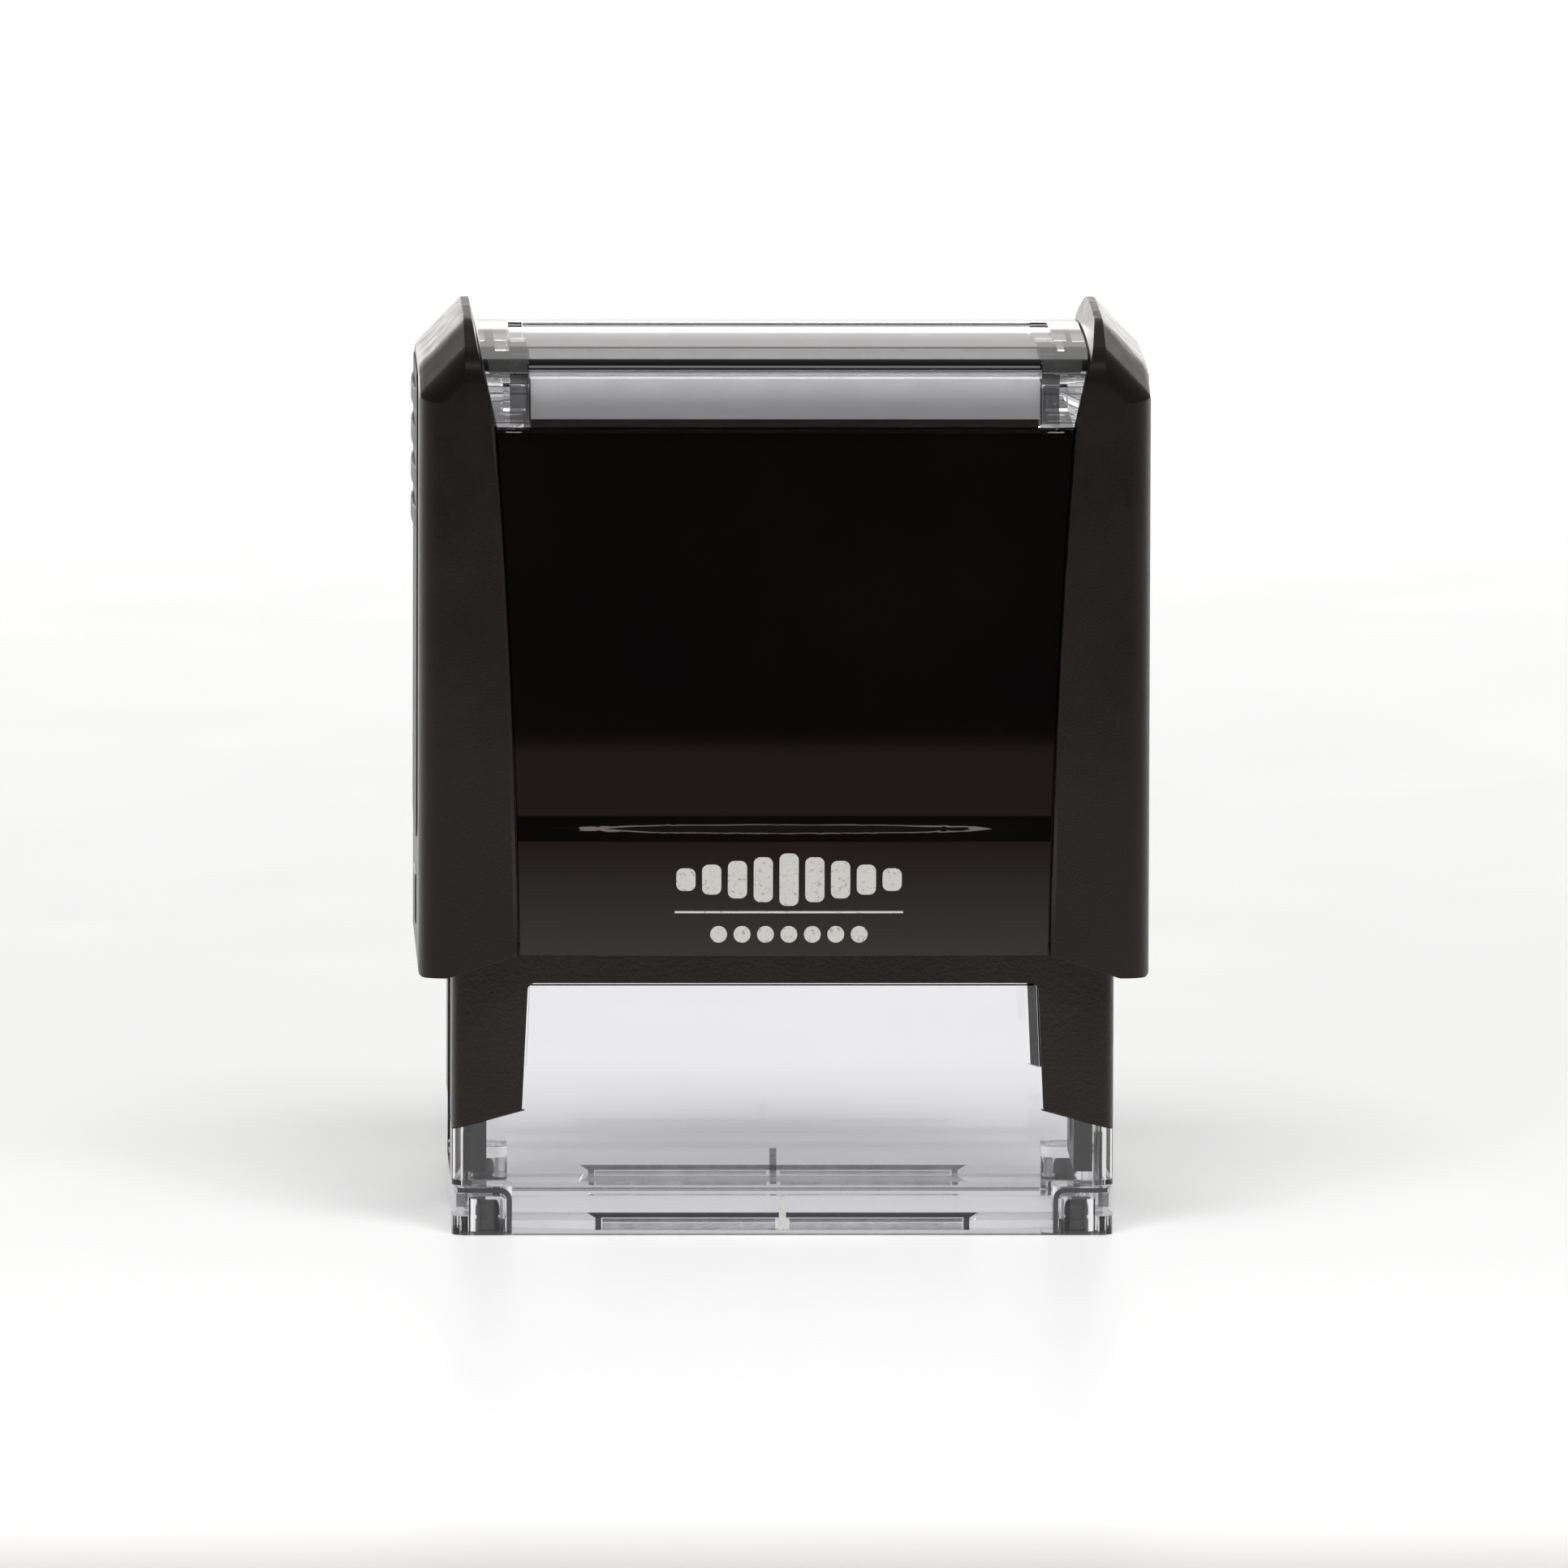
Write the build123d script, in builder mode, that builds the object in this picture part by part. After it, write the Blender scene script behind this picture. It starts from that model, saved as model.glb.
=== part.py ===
"""Self-inking stamp: a spring-returned cap that flips and lowers an inked die through a base.

Millimetres. +Z up, the front faces -Y, the origin is the bottom centre of the foot.
"""

import math
import os

from build123d import *

os.makedirs("parts", exist_ok=True)

# ---------------------------------------------------------------- driving dimensions
# mechanism
AXIS_Z = 28.0  # flip axis above the table at rest
FACE_HEIGHT = 7.5  # flip axis to printing face
PRESS_GAP = 0.2  # printing face above the table at full press
TRAVEL = AXIS_Z - FACE_HEIGHT - PRESS_GAP
TRUNNION_R = 1.6
TRUNNION_FIT = 0.05  # radial clearance of a trunnion in the bow
CAM_ARM = 4.0  # flip axis to cam pin
CAM_PIN_R = 1.0
GUIDE_CLEARANCE = 0.3  # trunnion and cam pin in the base's slots

# base
BASE_HALF_W = 28.3
BASE_HALF_D = 17.0
BASE_CORNER_R = 1.4
BASE_WALL = 1.4
GUIDE_IN = 25.2  # inner face of the guide walls
GUIDE_OUT = 26.8  # outer face of the guide walls, floor of the bow channels
CHANNEL_HALF_D = 6.3
TONGUE_HALF_D = 8.0
TONGUE_LOW = 4.4
LEG_LOW_OUT = 9.1
LEG_LOW_IN = 10.8
WINDOW_HALF_LOW = 22.3
WINDOW_HALF_TOP = 21.8
WINDOW_TOP = 21.7
WINDOW_R = 0.6
DECK_TOP = 42.4
DECK_T = 1.3
CARTRIDGE_LOW = 35.2
CARTRIDGE_HALF_W = 24.6

# cap
CAP_HALF_W = 31.2
CAP_HALF_D = 20.0
CAP_CORNER_R = 2.2
CAP_LOW_OUT = 22.45
CAP_LOW_IN = 24.4
CAP_SLOPE_X = 28.7  # where the lower edge has run down to its outer level
CAP_PEAK = 78.2
ROOF_ARCH_R = 400.0  # side profile of the shoulders and the window: nearly flat roof
ROOF_CREASE_Y = 11.0  # where the roof turns down to the front and rear
SHOULDER_HIP_DROP = 2.2  # from the crease to the eaves
SHOULDER_CREASE_R = 14.0
SHOULDER_ROUND = 3.0
# top of a shoulder seen from the front, from its peak out to the side of the cap
SHOULDER_TOP = ((27.3, 78.2), (30.8, 74.55), (31.1, 74.2), (31.2, 73.9))
SIDE_WALL = 1.3
FRONT_WALL = 1.6
CEILING_LOW = 68.2
CEILING_TOP = 69.6
PANEL_HALF_TOP = 24.75
PANEL_HALF_MID = 23.2
PANEL_HALF_LOW = 22.7
PANEL_MID_Z = 43.5
PANEL_GAP = 0.15
PANEL_IN = 17.85
SHOULDER_LEAN = 0.22  # inner edge of a shoulder, outward per mm of height above the ceiling
SIDE_INNER = CAP_HALF_W - SIDE_WALL
FRONT_INNER = CAP_HALF_D - FRONT_WALL

# top window
COVER_HALF_D = 19.7
COVER_PEAK = 75.9
COVER_HIP_DROP = 0.5
COVER_CREASE_R = 2.0
COVER_ROUND = 2.0
COVER_WALL = 1.1
COVER_GAP = 0.2
COVER_LOW = 69.7
COVER_DISH = 0.25
COVER_DISH_IN = 0.4  # from the crease to the edge of the dish
CARD_HALF_W = 21.7
CARD_T = 0.25
CARD_LOW = 70.3
CARD_TOP_Y = 7.5  # the card's leaves end here, on the roof of the tray
TRAY_PEAK = 74.1
TRAY_ARCH_R = 300.0
TRAY_ROUND = 2.4

# lock buttons and grips
BUTTON_Z = 27.5
BUTTON_H = 4.5
BUTTON_W = 10.0
BUTTON_STROKE = 0.9
GRIP_LOW = 33.4
GRIP_TOP = 73.4
GRIP_HALF_D = 12.0
GRIP_RECESS = 0.6
RIDGE_PITCH = 3.4
RIDGE_TOP_Z = 71.0
RIDGE_COUNT = 4
RIDGE_H = 1.8
RIDGE_REACH = 0.45
RIDGE_HALF_D = 8.5

# spring
SPRING_R = 4.2
SPRING_WIRE = 0.65
SPRING_COILS = 6
SPRING_SEAT_R = SPRING_R - SPRING_WIRE / 2 - 0.25
SPRING_SEAT_H = 1.6
BOW_BAR_LOW = 67.0
BOW_BAR_TOP = 68.1
BOW_IN = 27.1
BOW_OUT = 28.2
BOW_HALF_D = 5.0
BOW_GUSSET = 4.0
PEG_PITCH = 24.0  # pegs that hold the bow in the ceiling of the cap
PEG_R = 1.45

BOTH_ENDS = (-1, 1)


def finish(part, name):
    """Label a finished piece and write its STEP file."""
    part.label = name
    export_step(part, f"parts/{name}.step")


def arched(half_depth, peak, arch_r, corner):
    """Side profile for a YZ sketch: upright ends, arched top, round corners."""
    edge = peak - (arch_r - math.sqrt(arch_r**2 - half_depth**2))
    with BuildSketch() as profile:
        with BuildLine():
            Polyline((half_depth, edge), (half_depth, 0), (-half_depth, 0), (-half_depth, edge))
            ThreePointArc((-half_depth, edge), (0, peak), (half_depth, edge))
        make_face()
        fillet(profile.vertices().group_by(Axis.Y)[-1], corner)
    return profile.sketch


def hipped(half_depth, peak, drop, crease_r, corner):
    """Side profile for a YZ sketch: upright ends, hips with round eaves, nearly flat roof."""
    crease = ROOF_CREASE_Y
    edge = peak - (ROOF_ARCH_R - math.sqrt(ROOF_ARCH_R**2 - crease**2))
    with BuildSketch() as profile:
        with BuildLine():
            Polyline(
                (crease, edge),
                (half_depth, edge - drop),
                (half_depth, 0),
                (-half_depth, 0),
                (-half_depth, edge - drop),
                (-crease, edge),
            )
            ThreePointArc((-crease, edge), (0, peak), (crease, edge))
        make_face()
        fillet(profile.vertices().filter_by(lambda v: abs(v.Y - edge) < 0.01), crease_r)
        fillet(profile.vertices().filter_by(lambda v: abs(v.Y - edge + drop) < 0.01), corner)
    return profile.sketch


def panel_outline(gap, top, low):
    """Outline of the front opening for an XZ sketch, drawn in by a gap at its sides."""
    with BuildSketch() as outline:
        with BuildLine():
            arc = ThreePointArc(
                (PANEL_HALF_TOP - gap, top),
                (PANEL_HALF_MID - gap, PANEL_MID_Z),
                (PANEL_HALF_LOW - gap, low),
            )
            mirror(arc, about=Plane.YZ)
            Line((PANEL_HALF_TOP - gap, top), (gap - PANEL_HALF_TOP, top))
            Line((PANEL_HALF_LOW - gap, low), (gap - PANEL_HALF_LOW, low))
        make_face()
    return outline.sketch


def cover_outline(gap, low, top):
    """Trapezoid between the leaning shoulders, for an XZ sketch, drawn in by a gap at its sides."""
    half_low = PANEL_HALF_TOP - gap + SHOULDER_LEAN * (low - CEILING_TOP)
    half_top = PANEL_HALF_TOP - gap + SHOULDER_LEAN * (top - CEILING_TOP)
    with BuildSketch() as outline:
        with BuildLine():
            Polyline((-half_low, low), (half_low, low), (half_top, top), (-half_top, top), close=True)
        make_face()
    return outline.sketch


def cam_point(turn, offset=0.0):
    """Centre line of the cam groove, (y, z), for a flip angle; offset moves it sideways."""
    y = CAM_ARM * math.cos(turn)
    z = AXIS_Z - TRAVEL * turn / math.pi + CAM_ARM * math.sin(turn)
    dy = -CAM_ARM * math.sin(turn)
    dz = -TRAVEL / math.pi + CAM_ARM * math.cos(turn)
    length = math.hypot(dy, dz)
    return (y - offset * dz / length, z + offset * dy / length)


# ================================================================ base body
with BuildPart() as base_frame:
    with BuildSketch(Plane.XY.offset(LEG_LOW_OUT)):
        RectangleRounded(2 * BASE_HALF_W, 2 * BASE_HALF_D, BASE_CORNER_R)
    extrude(amount=DECK_TOP - LEG_LOW_OUT)
    # room for the die and the ink cartridge
    with BuildSketch(Plane.XY):
        Rectangle(2 * GUIDE_IN, 2 * (BASE_HALF_D - BASE_WALL))
    extrude(amount=DECK_TOP - DECK_T, mode=Mode.SUBTRACT)
    # channels for the arms of the bow
    for side in BOTH_ENDS:
        with BuildSketch(Plane.XY):
            with Locations((side * (GUIDE_OUT + 5), 0)):
                Rectangle(10, 2 * CHANNEL_HALF_D)
        extrude(amount=DECK_TOP + 1, mode=Mode.SUBTRACT)
    # front and rear windows, with the slanted lower ends of the legs
    with BuildSketch(Plane.XZ) as window:
        with BuildLine():
            Polyline(
                (-BASE_HALF_W - 1, LEG_LOW_OUT - 1),
                (-BASE_HALF_W, LEG_LOW_OUT),
                (-WINDOW_HALF_LOW, LEG_LOW_IN),
                (-WINDOW_HALF_TOP, WINDOW_TOP),
                (WINDOW_HALF_TOP, WINDOW_TOP),
                (WINDOW_HALF_LOW, LEG_LOW_IN),
                (BASE_HALF_W, LEG_LOW_OUT),
                (BASE_HALF_W + 1, LEG_LOW_OUT - 1),
                close=True,
            )
        make_face()
        fillet(window.vertices().group_by(Axis.Y)[-1], WINDOW_R)
    extrude(amount=BASE_HALF_D + 1, both=True, mode=Mode.SUBTRACT)
    # cartridge openings at the front and rear
    with BuildSketch(Plane.XZ):
        with Locations((0, (CARTRIDGE_LOW + DECK_TOP - DECK_T) / 2)):
            Rectangle(2 * (CARTRIDGE_HALF_W + 0.3), DECK_TOP - DECK_T - CARTRIDGE_LOW)
    extrude(amount=BASE_HALF_D + 1, both=True, mode=Mode.SUBTRACT)
    # lower tongues of the guide walls and ledges under the cartridge
    for side in BOTH_ENDS:
        with BuildSketch(Plane.XY.offset(TONGUE_LOW)):
            with Locations((side * (GUIDE_IN + GUIDE_OUT) / 2, 0)):
                Rectangle(GUIDE_OUT - GUIDE_IN, 2 * TONGUE_HALF_D)
        extrude(amount=LEG_LOW_IN + 2 - TONGUE_LOW)
        with BuildSketch(Plane.XY.offset(CARTRIDGE_LOW - 0.6)):
            with Locations((side * (GUIDE_IN - 0.4), 0)):
                Rectangle(0.8, 2 * (BASE_HALF_D - BASE_WALL))
        extrude(amount=1.7)
    # trunnion slots
    slot_r = TRUNNION_R + GUIDE_CLEARANCE
    with BuildSketch(Plane.YZ):
        with Locations((0, AXIS_Z - TRAVEL / 2)):
            SlotCenterToCenter(TRAVEL, 2 * slot_r, rotation=90)
    extrude(amount=GUIDE_OUT + 1, both=True, mode=Mode.SUBTRACT)
    # cam grooves in the inner faces of the guide walls
    groove_r = CAM_PIN_R + GUIDE_CLEARANCE / 2
    turns = [math.pi * step / 12 for step in range(13)]
    with BuildSketch(Plane.YZ.offset(-GUIDE_IN - 1.0)) as groove:
        with BuildLine():
            left = Spline([cam_point(turn, groove_r) for turn in turns])
            right = Spline([cam_point(turn, -groove_r) for turn in turns])
            ThreePointArc(left @ 0, (CAM_ARM, AXIS_Z + groove_r), right @ 0)
            ThreePointArc(left @ 1, (-CAM_ARM, AXIS_Z - TRAVEL - groove_r), right @ 1)
        make_face()
    extrude(amount=2 * (GUIDE_IN + 1.0), mode=Mode.SUBTRACT)
    # spring seat on the deck
    with BuildSketch(Plane.XY.offset(DECK_TOP)):
        Circle(SPRING_SEAT_R)
    extrude(amount=SPRING_SEAT_H)
    chamfer(base_frame.faces().sort_by(Axis.Z)[-1].edges(), 0.4)
finish(base_frame.part, "base_frame")

FOOT_WALL = 1.1
PANE_GAP = 0.2
BOSS_IN = 23.1
BOSS_OUT = 27.9
BOSS_TOP = 4.1
BOSS_HALF_D = 11.9
BOSS_END = 16.5
BOSS_R = 0.9
PLUG_X = 25.2
PLUG_Y = 14.4
PLUG_R = 1.6
PLUG_TOP = 3.0
PLUG_GROOVE_Z = 1.2
PLUG_GROOVE_H = 0.4
PLUG_GROOVE_DEPTH = 0.3
FLANGE_T = 1.2
MOUTH_HALF_W = 24.5
MOUTH_HALF_D = 10.4
MOUTH_R = 0.8
RECESS_LOW = 0.35
RECESS_TOP = 1.95
RECESS_HALF_LOW = 15.9
RECESS_HALF_TOP = 16.8
RECESS_DEPTH = 0.4
MARK_Z = 1.9
MARK_W = 0.6
MARK_H = 2.9
MARK_T = 0.35
MARK_GAP = 0.15
with BuildPart() as clear_foot:
    with BuildSketch(Plane.XY):
        RectangleRounded(2 * BASE_HALF_W, 2 * BASE_HALF_D, BASE_CORNER_R)
    extrude(amount=WINDOW_TOP - PANE_GAP)
    with BuildSketch(Plane.XY.offset(FLANGE_T)):
        Rectangle(2 * (BASE_HALF_W - FOOT_WALL), 2 * (BASE_HALF_D - FOOT_WALL))
    extrude(amount=WINDOW_TOP, mode=Mode.SUBTRACT)
    with BuildSketch(Plane.XY):
        RectangleRounded(2 * MOUTH_HALF_W, 2 * MOUTH_HALF_D, MOUTH_R)
    extrude(amount=FLANGE_T, mode=Mode.SUBTRACT)
    # corner bosses
    with BuildSketch(Plane.XY):
        for side in BOTH_ENDS:
            for end in BOTH_ENDS:
                with Locations((side * (BOSS_IN + BOSS_OUT) / 2, end * (BOSS_HALF_D + BOSS_END) / 2)):
                    RectangleRounded(BOSS_OUT - BOSS_IN, BOSS_END - BOSS_HALF_D, BOSS_R)
    extrude(amount=BOSS_TOP)
    # the legs of the frame stand on the foot; panes rise between them
    with BuildSketch(Plane.XZ) as above:
        with BuildLine():
            Polyline(
                (-BASE_HALF_W - 1, LEG_LOW_OUT - 0.05),
                (-BASE_HALF_W, LEG_LOW_OUT - 0.05),
                (-WINDOW_HALF_LOW + PANE_GAP, LEG_LOW_IN - 0.05),
                (-WINDOW_HALF_TOP + PANE_GAP, WINDOW_TOP + 1),
                (-BASE_HALF_W - 1, WINDOW_TOP + 1),
                close=True,
            )
        make_face()
        mirror(about=Plane.YZ)
    extrude(amount=BASE_HALF_D + 1, both=True, mode=Mode.SUBTRACT)
    # side cut-outs for the bow and the guide walls
    for side in BOTH_ENDS:
        with BuildSketch(Plane.XY.offset(TONGUE_LOW - 0.4)):
            with Locations((side * BASE_HALF_W, 0)):
                Rectangle(8, 2 * (TONGUE_HALF_D + 0.3))
        extrude(amount=WINDOW_TOP, mode=Mode.SUBTRACT)
    # plug holes
    with BuildSketch(Plane.XY):
        with GridLocations(2 * PLUG_X, 2 * PLUG_Y, 2, 2):
            Circle(PLUG_R)
    extrude(amount=PLUG_TOP, mode=Mode.SUBTRACT)
    # shallow recess along the front and rear of the foot, and its alignment notch
    for end in BOTH_ENDS:
        with BuildSketch(Plane.XZ.offset(end * (BASE_HALF_D - RECESS_DEPTH))):
            with BuildLine():
                Polyline(
                    (-RECESS_HALF_LOW, RECESS_LOW),
                    (RECESS_HALF_LOW, RECESS_LOW),
                    (RECESS_HALF_TOP, RECESS_TOP),
                    (-RECESS_HALF_TOP, RECESS_TOP),
                    close=True,
                )
            make_face()
            with Locations((0, MARK_Z)):
                Rectangle(MARK_W + 2 * MARK_GAP, MARK_H + 2 * MARK_GAP)
        extrude(amount=end * (RECESS_DEPTH + 0.1), mode=Mode.SUBTRACT)
finish(clear_foot.part, "clear_foot")

with BuildPart() as anti_slip_feet:
    with BuildSketch(Plane.XY):
        with GridLocations(2 * PLUG_X, 2 * PLUG_Y, 2, 2):
            Circle(PLUG_R - 0.05)
    extrude(amount=PLUG_TOP - 0.1)
    fillet(anti_slip_feet.faces().group_by(Axis.Z)[-1].edges(), 0.8)
    with BuildSketch(Plane.XY.offset(PLUG_GROOVE_Z)):
        with GridLocations(2 * PLUG_X, 2 * PLUG_Y, 2, 2):
            Circle(PLUG_R + 1)
            Circle(PLUG_R - PLUG_GROOVE_DEPTH, mode=Mode.SUBTRACT)
    extrude(amount=PLUG_GROOVE_H, mode=Mode.SUBTRACT)
finish(anti_slip_feet.part, "anti_slip_feet")

with BuildPart() as position_marks:
    for end in BOTH_ENDS:
        with BuildSketch(Plane.XZ.offset(end * (BASE_HALF_D - MARK_T))):
            with Locations((0, MARK_Z)):
                Rectangle(MARK_W, MARK_H)
        extrude(amount=end * MARK_T)
finish(position_marks.part, "position_marks")

CARTRIDGE_TOP = DECK_TOP - DECK_T - 0.2
TRAY_LOW = CARTRIDGE_LOW + 1.2
PAD_FACE = AXIS_Z + FACE_HEIGHT + 0.4
PAD_HALF_W = 23.3
PAD_HALF_D = 10.3
TRAY_LID = 1.1
END_HOLLOW_Y = 13.5
END_HOLLOW_W = 42.0
END_HOLLOW_D = 3.8
END_HOLLOW_H = 2.8
GROOVE_COUNT = 7
GROOVE_PITCH = 3.0
GROOVE_H = 2.6
GROOVE_W = 0.9
GROOVE_DEPTH = 0.5
with BuildPart() as cartridge_tray:
    with BuildSketch(Plane.XY.offset(TRAY_LOW)):
        RectangleRounded(2 * CARTRIDGE_HALF_W, 2 * (BASE_HALF_D - 0.2), 0.6)
    extrude(amount=CARTRIDGE_TOP - TRAY_LOW)
    with BuildSketch(Plane.XY.offset(TRAY_LOW)):
        Rectangle(2 * PAD_HALF_W, 2 * PAD_HALF_D)
    extrude(amount=CARTRIDGE_TOP - TRAY_LOW - TRAY_LID, mode=Mode.SUBTRACT)
    # hollow ends behind the finger grips
    for end in BOTH_ENDS:
        with BuildSketch(Plane.XY.offset(TRAY_LOW)):
            with Locations((0, end * END_HOLLOW_Y)):
                Rectangle(END_HOLLOW_W, END_HOLLOW_D)
        extrude(amount=END_HOLLOW_H, mode=Mode.SUBTRACT)
        # finger grip grooves
        with BuildSketch(Plane.XZ.offset(end * (BASE_HALF_D - GROOVE_DEPTH))):
            with GridLocations(GROOVE_PITCH, 1, GROOVE_COUNT, 1):
                with Locations((0, (TRAY_LOW + CARTRIDGE_TOP) / 2)):
                    SlotOverall(GROOVE_H, GROOVE_W, rotation=90)
        extrude(amount=end * GROOVE_DEPTH, mode=Mode.SUBTRACT)
finish(cartridge_tray.part, "cartridge_tray")

with BuildPart() as ink_pad:
    with BuildSketch(Plane.XY.offset(PAD_FACE)):
        RectangleRounded(2 * PAD_HALF_W - 0.1, 2 * PAD_HALF_D - 0.1, 0.5)
    extrude(amount=CARTRIDGE_TOP - TRAY_LID - PAD_FACE)
finish(ink_pad.part, "ink_pad")

with BuildPart() as return_spring:
    height = BOW_BAR_LOW - DECK_TOP - SPRING_WIRE
    with BuildLine() as coil:
        Helix(
            pitch=height / SPRING_COILS,
            height=height,
            radius=SPRING_R,
            center=(0, 0, DECK_TOP + SPRING_WIRE / 2),
        )
    with BuildSketch(Plane(origin=coil.line @ 0, z_dir=coil.line % 0)):
        Circle(SPRING_WIRE / 2)
    sweep(path=coil.line, is_frenet=True)
finish(return_spring.part, "return_spring")

# ================================================================ cap body
with BuildPart() as cap_top:
    # the side profile is swept down over each shoulder, so the slopes have hips as well
    for side in BOTH_ENDS:
        for (x_in, z_in), (x_out, z_out) in zip(((0, CAP_PEAK), *SHOULDER_TOP), SHOULDER_TOP):
            with BuildSketch(Plane.YZ.offset(side * x_in)):
                add(hipped(CAP_HALF_D, z_in, SHOULDER_HIP_DROP, SHOULDER_CREASE_R, SHOULDER_ROUND))
            run = math.hypot(x_out - x_in, z_out - z_in)
            extrude(amount=run, dir=(side * (x_out - x_in), 0, z_out - z_in))

with BuildPart() as cap_shell:
    with BuildSketch(Plane.XY.offset(CAP_LOW_OUT)):
        RectangleRounded(2 * CAP_HALF_W, 2 * CAP_HALF_D, CAP_CORNER_R)
    extrude(amount=CAP_PEAK - CAP_LOW_OUT)
    add(cap_top.part, mode=Mode.INTERSECT)
    with BuildSketch(Plane.XZ) as front_shape:
        with BuildLine():
            Polyline(
                (0, CAP_LOW_IN),
                (PANEL_HALF_LOW, CAP_LOW_IN),
                (CAP_SLOPE_X, CAP_LOW_OUT),
                (CAP_HALF_W, CAP_LOW_OUT),
                (CAP_HALF_W, CAP_PEAK + 1),
                (0, CAP_PEAK + 1),
                close=True,
            )
        make_face()
        fillet(front_shape.vertices().sort_by_distance((CAP_HALF_W, CAP_LOW_OUT))[0], 0.5)
        mirror(about=Plane.YZ)
    extrude(amount=CAP_HALF_D + 1, both=True, mode=Mode.INTERSECT)
    # inside
    with BuildSketch(Plane.XY):
        RectangleRounded(2 * SIDE_INNER, 2 * FRONT_INNER, CAP_CORNER_R - SIDE_WALL)
    extrude(amount=CEILING_LOW, mode=Mode.SUBTRACT)
    # space between the shoulders for the window
    with BuildSketch(Plane.XZ):
        add(cover_outline(0, CEILING_TOP, CAP_PEAK + 1))
    extrude(amount=CAP_HALF_D + 1, both=True, mode=Mode.SUBTRACT)
    # front and rear openings for the gloss panels
    with BuildSketch(Plane.XZ):
        add(panel_outline(0, CEILING_TOP, CAP_LOW_OUT))
    extrude(amount=CAP_HALF_D + 1, both=True, mode=Mode.SUBTRACT)
    opening_edges = cap_shell.edges().filter_by(GeomType.CIRCLE)
    opening_edges = opening_edges.filter_by(lambda edge: edge.length > PANEL_MID_Z)
    fillet(opening_edges.filter_by(lambda edge: abs(edge.center().Y) > CAP_HALF_D - 0.1), 0.35)
    # ceiling
    with BuildSketch(Plane.XY.offset(CEILING_LOW)):
        Rectangle(2 * SIDE_INNER + 0.5, 2 * (PANEL_IN - 0.05))
        with GridLocations(PEG_PITCH, 1, 2, 1):
            Circle(PEG_R + 0.05, mode=Mode.SUBTRACT)
    extrude(amount=CEILING_TOP - CEILING_LOW)
    for side in BOTH_ENDS:
        # grip recess
        with BuildSketch(Plane.YZ.offset(side * (CAP_HALF_W - GRIP_RECESS))):
            with Locations((0, (GRIP_LOW + GRIP_TOP) / 2)):
                RectangleRounded(2 * GRIP_HALF_D, GRIP_TOP - GRIP_LOW, 2.5)
        extrude(amount=side * 2, mode=Mode.SUBTRACT)
        # button hole
        with BuildSketch(Plane.YZ.offset(side * (SIDE_INNER - 0.5))):
            with Locations((0, BUTTON_Z)):
                RectangleRounded(BUTTON_W + 0.3, BUTTON_H + 0.3, 0.9)
        extrude(amount=side * 3, mode=Mode.SUBTRACT)
finish(cap_shell.part, "cap_shell")

PANEL_FACE = 19.05  # upper zone
PANEL_TOP = CEILING_TOP - 0.1
STEP_TOP = 36.3
STEP_LOW = 34.2
STEP_MIDDLE = 0.95  # how far the lower zone stands out, in the middle and at the sides
STEP_SIDES = 0.35
CLIP_OUT = FRONT_INNER - 0.05
CLIP_IN = 17.75
CLIP_REACH = 1.6


def panel_section(step):
    """Upright section of the gloss panel, for a YZ sketch: flat face, then an S-shaped step."""
    with BuildSketch() as section:
        with BuildLine():
            Polyline(
                (-PANEL_FACE - step + 0.1, CAP_LOW_IN),
                (-PANEL_IN, CAP_LOW_IN),
                (-PANEL_IN, PANEL_TOP),
                (-PANEL_FACE, PANEL_TOP),
                (-PANEL_FACE, STEP_TOP),
            )
            hollow = TangentArc(
                (-PANEL_FACE, STEP_TOP),
                (-PANEL_FACE - step / 2, (STEP_TOP + STEP_LOW) / 2),
                tangent=(0, -1),
            )
            TangentArc(hollow @ 1, (-PANEL_FACE - step, STEP_LOW), tangent=hollow % 1)
            Line((-PANEL_FACE - step, STEP_LOW), (-PANEL_FACE - step + 0.1, CAP_LOW_IN))
        make_face()
    return section.sketch


for end, panel_name in ((1, "front_panel"), (-1, "rear_panel")):
    with BuildPart() as gloss_panel:
        for x, step in ((-25.0, STEP_SIDES), (0.0, STEP_MIDDLE), (25.0, STEP_SIDES)):
            with BuildSketch(Plane.YZ.offset(x)):
                add(panel_section(step))
        loft()
        with BuildSketch(Plane.XZ):
            add(panel_outline(PANEL_GAP, CEILING_TOP, CAP_LOW_IN))
        extrude(amount=CAP_HALF_D + 1, both=True, mode=Mode.INTERSECT)
        top_edges = gloss_panel.edges().group_by(Axis.Z)[-1]
        fillet(top_edges.sort_by(Axis.Y)[0], 0.6)
        # clips behind the shoulders
        with BuildSketch(Plane.XY.offset(CAP_LOW_IN + 1)):
            for side in BOTH_ENDS:
                with Locations((side * PANEL_HALF_TOP, -(CLIP_IN + CLIP_OUT) / 2)):
                    Rectangle(2 * CLIP_REACH + 3, CLIP_OUT - CLIP_IN)
        extrude(amount=CEILING_LOW - CAP_LOW_IN - 2)
        if end < 0:
            mirror(about=Plane.XZ, mode=Mode.REPLACE)
    finish(gloss_panel.part, panel_name)

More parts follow.
